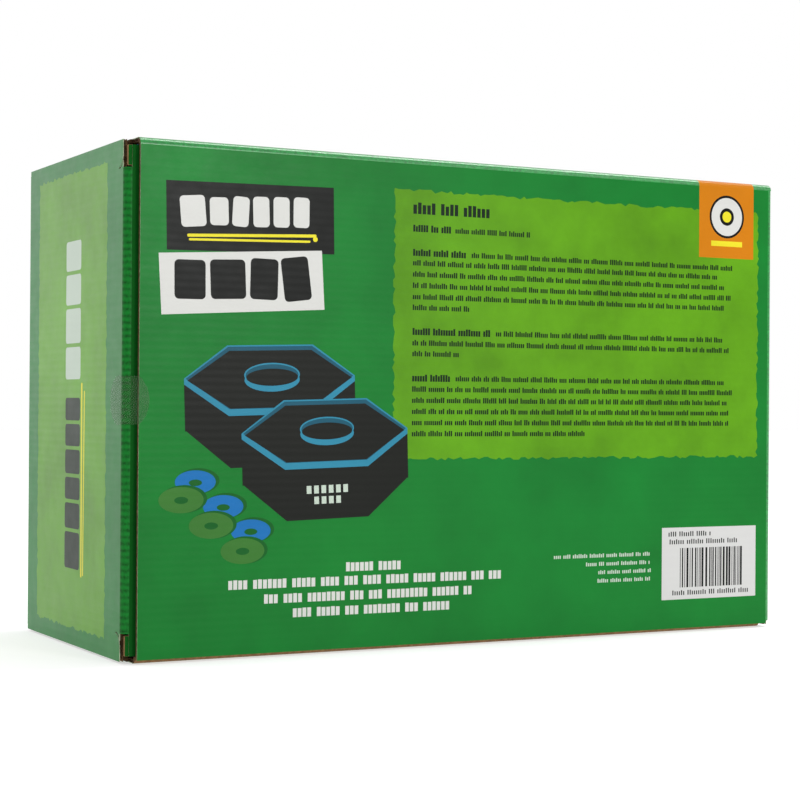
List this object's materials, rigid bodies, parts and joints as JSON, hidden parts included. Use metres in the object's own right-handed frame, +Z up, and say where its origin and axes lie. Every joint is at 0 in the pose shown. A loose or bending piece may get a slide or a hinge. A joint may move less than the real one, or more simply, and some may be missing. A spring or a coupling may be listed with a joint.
{
  "type": "washer toss game carton",
  "caption": "Printed corrugated tuck-end carton of a lawn washer toss game, with opening end closures and dust flaps, holding two folded hexagonal fabric targets and throwing washers.",
  "frame": {"origin": "middle of the carton's base, on the surface it stands on", "axes": "+X along the carton from the left end to the right end, +Y from the front panel to the back panel, +Z up"},
  "size_m": [0.3152, 0.1304, 0.205],
  "materials": {
    "printed_board": "semi-gloss printed liner on corrugated kraft board",
    "seal_film": "clear film",
    "black_fabric": "woven polyester over board",
    "blue_binding": "woven binding tape",
    "blue_paint": "satin",
    "green_paint": "satin"
  },
  "bodies": {
    "root": {"front_panel": "printed_board", "top_panel": "printed_board", "back_panel": "printed_board", "bottom_panel": "printed_board", "glue_flap": "printed_board", "lower_target_lower_floor_board": "black_fabric", "lower_target_upper_floor_board": "black_fabric", "lower_target_outer_wall_left": "black_fabric", "lower_target_outer_wall_middle": "black_fabric", "lower_target_outer_wall_right": "black_fabric", "lower_target_inner_wall_left": "black_fabric", "lower_target_inner_wall_middle": "black_fabric", "lower_target_inner_wall_right": "black_fabric", "lower_target_rim_binding": "blue_binding", "lower_target_cup": "black_fabric", "lower_target_cup_binding": "blue_binding", "upper_target_lower_floor_board": "black_fabric", "upper_target_upper_floor_board": "black_fabric", "upper_target_outer_wall_left": "black_fabric", "upper_target_outer_wall_middle": "black_fabric", "upper_target_outer_wall_right": "black_fabric", "upper_target_inner_wall_left": "black_fabric", "upper_target_inner_wall_middle": "black_fabric", "upper_target_inner_wall_right": "black_fabric", "upper_target_rim_binding": "blue_binding", "upper_target_cup": "black_fabric", "upper_target_cup_binding": "blue_binding", "washer_blue_1": "blue_paint", "washer_blue_2": "blue_paint", "washer_blue_3": "blue_paint", "washer_green_1": "green_paint", "washer_green_2": "green_paint", "washer_green_3": "green_paint"},
    "left_closure": {"left_end_panel": "printed_board", "left_seal": "seal_film"},
    "left_tuck": {"left_tuck_flap": "printed_board"},
    "left_upper_dust": {"left_upper_dust_flap": "printed_board"},
    "left_lower_dust": {"left_lower_dust_flap": "printed_board"},
    "right_closure": {"right_end_panel": "printed_board", "right_seal": "seal_film"},
    "right_tuck": {"right_tuck_flap": "printed_board"},
    "right_upper_dust": {"right_upper_dust_flap": "printed_board"},
    "right_lower_dust": {"right_lower_dust_flap": "printed_board"}
  },
  "joints": [
    {"name": "left_closure_hinge", "type": "hinge", "parent": "root", "child": "left_closure", "pos_m": [-0.15662, 0.06412, 0.1025], "axis": [0, 0, -1], "range_deg": [0, 150]},
    {"name": "left_tuck_crease", "type": "hinge", "parent": "left_closure", "child": "left_tuck", "pos_m": [-0.15535, -0.05985, 0.1025], "axis": [0, 0, 1], "range_deg": [0, 37.5]},
    {"name": "left_upper_dust_crease", "type": "hinge", "parent": "root", "child": "left_upper_dust", "pos_m": [-0.15442, 0, 0.20412], "axis": [0, 1, 0], "range_deg": [0, 75]},
    {"name": "left_lower_dust_crease", "type": "hinge", "parent": "root", "child": "left_lower_dust", "pos_m": [-0.15442, 0, 0.00088], "axis": [0, -1, 0], "range_deg": [0, 75]},
    {"name": "right_closure_hinge", "type": "hinge", "parent": "root", "child": "right_closure", "pos_m": [0.15662, -0.06412, 0.1025], "axis": [0, 0, -1], "range_deg": [0, 150]},
    {"name": "right_tuck_crease", "type": "hinge", "parent": "right_closure", "child": "right_tuck", "pos_m": [0.15535, 0.05985, 0.1025], "axis": [0, 0, 1], "range_deg": [0, 37.5]},
    {"name": "right_upper_dust_crease", "type": "hinge", "parent": "root", "child": "right_upper_dust", "pos_m": [0.15442, 0, 0.20412], "axis": [0, -1, 0], "range_deg": [0, 75]},
    {"name": "right_lower_dust_crease", "type": "hinge", "parent": "root", "child": "right_lower_dust", "pos_m": [0.15442, 0, 0.00088], "axis": [0, 1, 0], "range_deg": [0, 75]}
  ],
  "couplings": [
    {"joint": "left_tuck_crease", "follows": "left_closure_hinge", "ratio": 0.25},
    {"joint": "left_upper_dust_crease", "follows": "left_closure_hinge", "ratio": 0.5},
    {"joint": "left_lower_dust_crease", "follows": "left_closure_hinge", "ratio": 0.5},
    {"joint": "right_tuck_crease", "follows": "right_closure_hinge", "ratio": 0.25},
    {"joint": "right_upper_dust_crease", "follows": "right_closure_hinge", "ratio": 0.5},
    {"joint": "right_lower_dust_crease", "follows": "right_closure_hinge", "ratio": 0.5}
  ]
}
